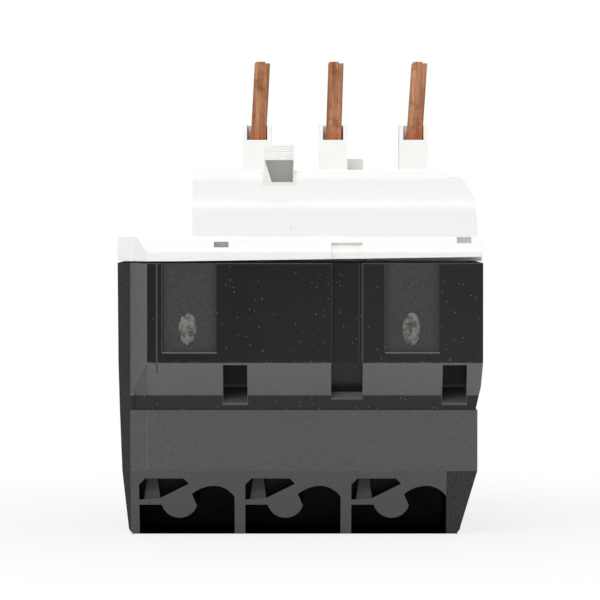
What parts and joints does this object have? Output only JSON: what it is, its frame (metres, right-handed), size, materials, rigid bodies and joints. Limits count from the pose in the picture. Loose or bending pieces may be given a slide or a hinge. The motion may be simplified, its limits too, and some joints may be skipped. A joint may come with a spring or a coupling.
{
  "type": "thermal overload relay",
  "caption": "Plug-on thermal overload relay with three flat line pins, setting dial, hinged clear cover, stop and reset buttons and clamp terminals.",
  "frame": {"origin": "under the middle of the body, on the surface that the relay stands on", "axes": "front with the dial and buttons faces -Y, rear wall faces +Y, line pins point along +Z, +X is to the right seen from the front"},
  "size_m": [0.0448, 0.07, 0.0589],
  "materials": {
    "black_plastic": "satin moulded",
    "white_plastic": "satin moulded",
    "clear_plastic": "clear gloss",
    "dial_plastic": "satin",
    "grey_plastic": "satin",
    "steel": "bright",
    "zinc_steel": "zinc plated",
    "red_plastic": "gloss",
    "blue_plastic": "gloss",
    "yellow_plastic": "satin",
    "cream_plastic": "satin",
    "bimetal": "rolled strip",
    "brass": "rolled strip",
    "copper": "rolled strip, copper",
    "copper_bar": "rolled strip, copper",
    "heater_wire": "oxidised resistance wire"
  },
  "bodies": {
    "housing": {"adjust_pivot": "steel", "base_housing": "black_plastic", "bimetal_strip_1": "bimetal", "bimetal_strip_2": "bimetal", "bimetal_strip_3": "bimetal", "control_bar_1": "brass", "control_bar_2": "brass", "control_bar_3": "brass", "control_bar_4": "brass", "front_panel": "white_plastic", "heater_coil_1": "heater_wire", "heater_coil_2": "heater_wire", "heater_coil_3": "heater_wire", "lever_pivots": "steel", "line_pin_1": "copper", "line_pin_2": "copper", "line_pin_3": "copper", "load_bar_1": "copper_bar", "load_bar_2": "copper_bar", "load_bar_3": "copper_bar", "nc_fixed_contact": "brass", "no_fixed_contact": "brass", "side_shell": "black_plastic", "trip_post": "black_plastic", "upper_housing": "white_plastic"},
    "dial": {"current_dial": "dial_plastic"},
    "adjuster": {"adjust_lever": "grey_plastic"},
    "cover": {"transparent_cover": "clear_plastic"},
    "stop": {"stop_button": "red_plastic"},
    "collar": {"reset_selector": "grey_plastic"},
    "reset": {"reset_button": "blue_plastic"},
    "flag": {"trip_flag": "yellow_plastic"},
    "push": {"push_slider": "cream_plastic"},
    "differential": {"differential_slider": "cream_plastic"},
    "compensator": {"compensation_lever": "bimetal"},
    "trip": {"trip_lever": "cream_plastic", "nc_moving_contact": "brass", "no_moving_contact": "brass"},
    "load_screw_body_1": {"load_screw_1": "zinc_steel"},
    "load_clamp_body_1": {"load_clamp_1": "zinc_steel"},
    "load_screw_body_2": {"load_screw_2": "zinc_steel"},
    "load_clamp_body_2": {"load_clamp_2": "zinc_steel"},
    "load_screw_body_3": {"load_screw_3": "zinc_steel"},
    "load_clamp_body_3": {"load_clamp_3": "zinc_steel"},
    "control_screw_body_1": {"control_screw_1": "zinc_steel"},
    "control_clamp_body_1": {"control_clamp_1": "zinc_steel"},
    "control_screw_body_2": {"control_screw_2": "zinc_steel"},
    "control_clamp_body_2": {"control_clamp_2": "zinc_steel"},
    "control_screw_body_3": {"control_screw_3": "zinc_steel"},
    "control_clamp_body_3": {"control_clamp_3": "zinc_steel"},
    "control_screw_body_4": {"control_screw_4": "zinc_steel"},
    "control_clamp_body_4": {"control_clamp_4": "zinc_steel"}
  },
  "joints": [
    {"name": "dial_turn", "type": "hinge", "parent": "housing", "child": "dial", "pos_m": [-0.0095, -0.0333, 0.0328], "axis": [0, 1, 0], "range_deg": [-135, 135]},
    {"name": "adjust_swing", "type": "hinge", "parent": "housing", "child": "adjuster", "pos_m": [0.0022, -0.027, 0.0328], "axis": [0, 1, 0], "range_deg": [-3, 3]},
    {"name": "cover_swing", "type": "hinge", "parent": "housing", "child": "cover", "pos_m": [-0.021, -0.0341, 0.0236], "axis": [0, 0, -1], "range_deg": [0, 105]},
    {"name": "stop_press", "type": "slide", "parent": "housing", "child": "stop", "axis": [0, 1, 0], "range_m": [0, 0.0012], "stiffness_N_per_m": 600},
    {"name": "collar_turn", "type": "hinge", "parent": "housing", "child": "collar", "pos_m": [0.0064, -0.0339, 0.0382], "axis": [0, 1, 0], "range_deg": [0, 90]},
    {"name": "reset_press", "type": "slide", "parent": "collar", "child": "reset", "axis": [0, 1, 0], "range_m": [0, 0.0012], "stiffness_N_per_m": 600},
    {"name": "push_travel", "type": "slide", "parent": "housing", "child": "push", "axis": [-1, 0, 0], "range_m": [0, 0.0015]},
    {"name": "differential_travel", "type": "slide", "parent": "housing", "child": "differential", "axis": [-1, 0, 0], "range_m": [0, 0.0015]},
    {"name": "compensator_swing", "type": "hinge", "parent": "housing", "child": "compensator", "pos_m": [0.0159, -0.0075, 0.024], "axis": [0, 0, 1], "range_deg": [0, 18]},
    {"name": "trip_rock", "type": "hinge", "parent": "housing", "child": "trip", "pos_m": [0.0015, -0.007, 0.0245], "axis": [0, 1, 0], "range_deg": [0, 8]},
    {"name": "flag_travel", "type": "slide", "parent": "housing", "child": "flag", "axis": [0, 0, 1], "range_m": [0, 0.0016]},
    {"name": "load_clamp_travel_1", "type": "slide", "parent": "housing", "child": "load_clamp_body_1", "axis": [0, -1, 0], "range_m": [0, 0.00245]},
    {"name": "load_screw_turn_1", "type": "hinge", "parent": "housing", "child": "load_screw_body_1", "pos_m": [0.01393, -0.003, 0.006], "axis": [0, 1, 0], "range_deg": [0, 1265]},
    {"name": "load_clamp_travel_2", "type": "slide", "parent": "housing", "child": "load_clamp_body_2", "axis": [0, -1, 0], "range_m": [0, 0.00245]},
    {"name": "load_screw_turn_2", "type": "hinge", "parent": "housing", "child": "load_screw_body_2", "pos_m": [0.00087, -0.003, 0.006], "axis": [0, 1, 0], "range_deg": [0, 1265]},
    {"name": "load_clamp_travel_3", "type": "slide", "parent": "housing", "child": "load_clamp_body_3", "axis": [0, -1, 0], "range_m": [0, 0.00245]},
    {"name": "load_screw_turn_3", "type": "hinge", "parent": "housing", "child": "load_screw_body_3", "pos_m": [-0.01219, -0.003, 0.006], "axis": [0, 1, 0], "range_deg": [0, 1265]},
    {"name": "control_clamp_travel_1", "type": "slide", "parent": "housing", "child": "control_clamp_body_1", "axis": [0, 1, 0], "range_m": [0, 0.0012]},
    {"name": "control_screw_turn_1", "type": "hinge", "parent": "control_clamp_body_1", "child": "control_screw_body_1", "pos_m": [0.0153, -0.019, 0.0156], "axis": [0, 1, 0], "range_deg": [0, 730]},
    {"name": "control_clamp_travel_2", "type": "slide", "parent": "housing", "child": "control_clamp_body_2", "axis": [0, 1, 0], "range_m": [0, 0.0012]},
    {"name": "control_screw_turn_2", "type": "hinge", "parent": "control_clamp_body_2", "child": "control_screw_body_2", "pos_m": [0.0051, -0.019, 0.0156], "axis": [0, 1, 0], "range_deg": [0, 730]},
    {"name": "control_clamp_travel_3", "type": "slide", "parent": "housing", "child": "control_clamp_body_3", "axis": [0, 1, 0], "range_m": [0, 0.0012]},
    {"name": "control_screw_turn_3", "type": "hinge", "parent": "control_clamp_body_3", "child": "control_screw_body_3", "pos_m": [-0.0051, -0.019, 0.0156], "axis": [0, 1, 0], "range_deg": [0, 730]},
    {"name": "control_clamp_travel_4", "type": "slide", "parent": "housing", "child": "control_clamp_body_4", "axis": [0, 1, 0], "range_m": [0, 0.0012]},
    {"name": "control_screw_turn_4", "type": "hinge", "parent": "control_clamp_body_4", "child": "control_screw_body_4", "pos_m": [-0.0153, -0.019, 0.0156], "axis": [0, 1, 0], "range_deg": [0, 730]}
  ],
  "couplings": [
    {"joint": "adjust_swing", "follows": "dial_turn", "ratio": -0.02},
    {"joint": "compensator_swing", "follows": "push_travel", "rad_per_m": 208},
    {"joint": "flag_travel", "follows": "trip_rock", "m_per_rad": 0.0114},
    {"joint": "load_screw_turn_1", "follows": "load_clamp_travel_1", "rad_per_m": 8976},
    {"joint": "load_screw_turn_2", "follows": "load_clamp_travel_2", "rad_per_m": 8976},
    {"joint": "load_screw_turn_3", "follows": "load_clamp_travel_3", "rad_per_m": 8976},
    {"joint": "control_screw_turn_1", "follows": "control_clamp_travel_1", "rad_per_m": 10472},
    {"joint": "control_screw_turn_2", "follows": "control_clamp_travel_2", "rad_per_m": 10472},
    {"joint": "control_screw_turn_3", "follows": "control_clamp_travel_3", "rad_per_m": 10472},
    {"joint": "control_screw_turn_4", "follows": "control_clamp_travel_4", "rad_per_m": 10472}
  ]
}
